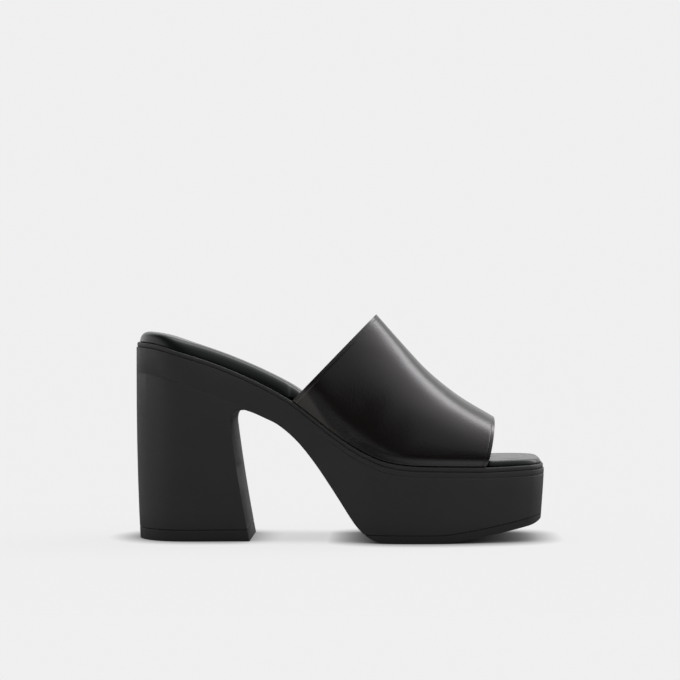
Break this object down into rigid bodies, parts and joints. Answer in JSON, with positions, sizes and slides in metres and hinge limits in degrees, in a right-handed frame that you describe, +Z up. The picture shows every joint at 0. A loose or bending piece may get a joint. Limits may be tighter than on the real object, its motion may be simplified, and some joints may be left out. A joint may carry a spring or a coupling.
{
  "type": "platform mule shoe",
  "caption": "Women's backless platform mule, right shoe: wide leather band over the instep, open toe, tall block heel, thick moulded platform, padded insole.",
  "frame": {"origin": "on the floor under the centre of the shoe's bounding box", "axes": "+X from the heel to the toe, +Z up, +Y to the inner side of the foot (right shoe)"},
  "size_m": [0.235, 0.0818, 0.1291],
  "materials": {
    "moulded_sole": "moulded polyurethane, fine matt texture, black",
    "tread_rubber": "matt black rubber",
    "sock_leather": "smooth padded sock leather, soft sheen, dark grey",
    "upper_leather": "smooth black leather, satin sheen, fine grain"
  },
  "bodies": {
    "root": {"sole_unit": "moulded_sole", "outsole": "tread_rubber", "top_piece": "tread_rubber", "insole": "sock_leather", "upper": "upper_leather"}
  },
  "joints": []
}
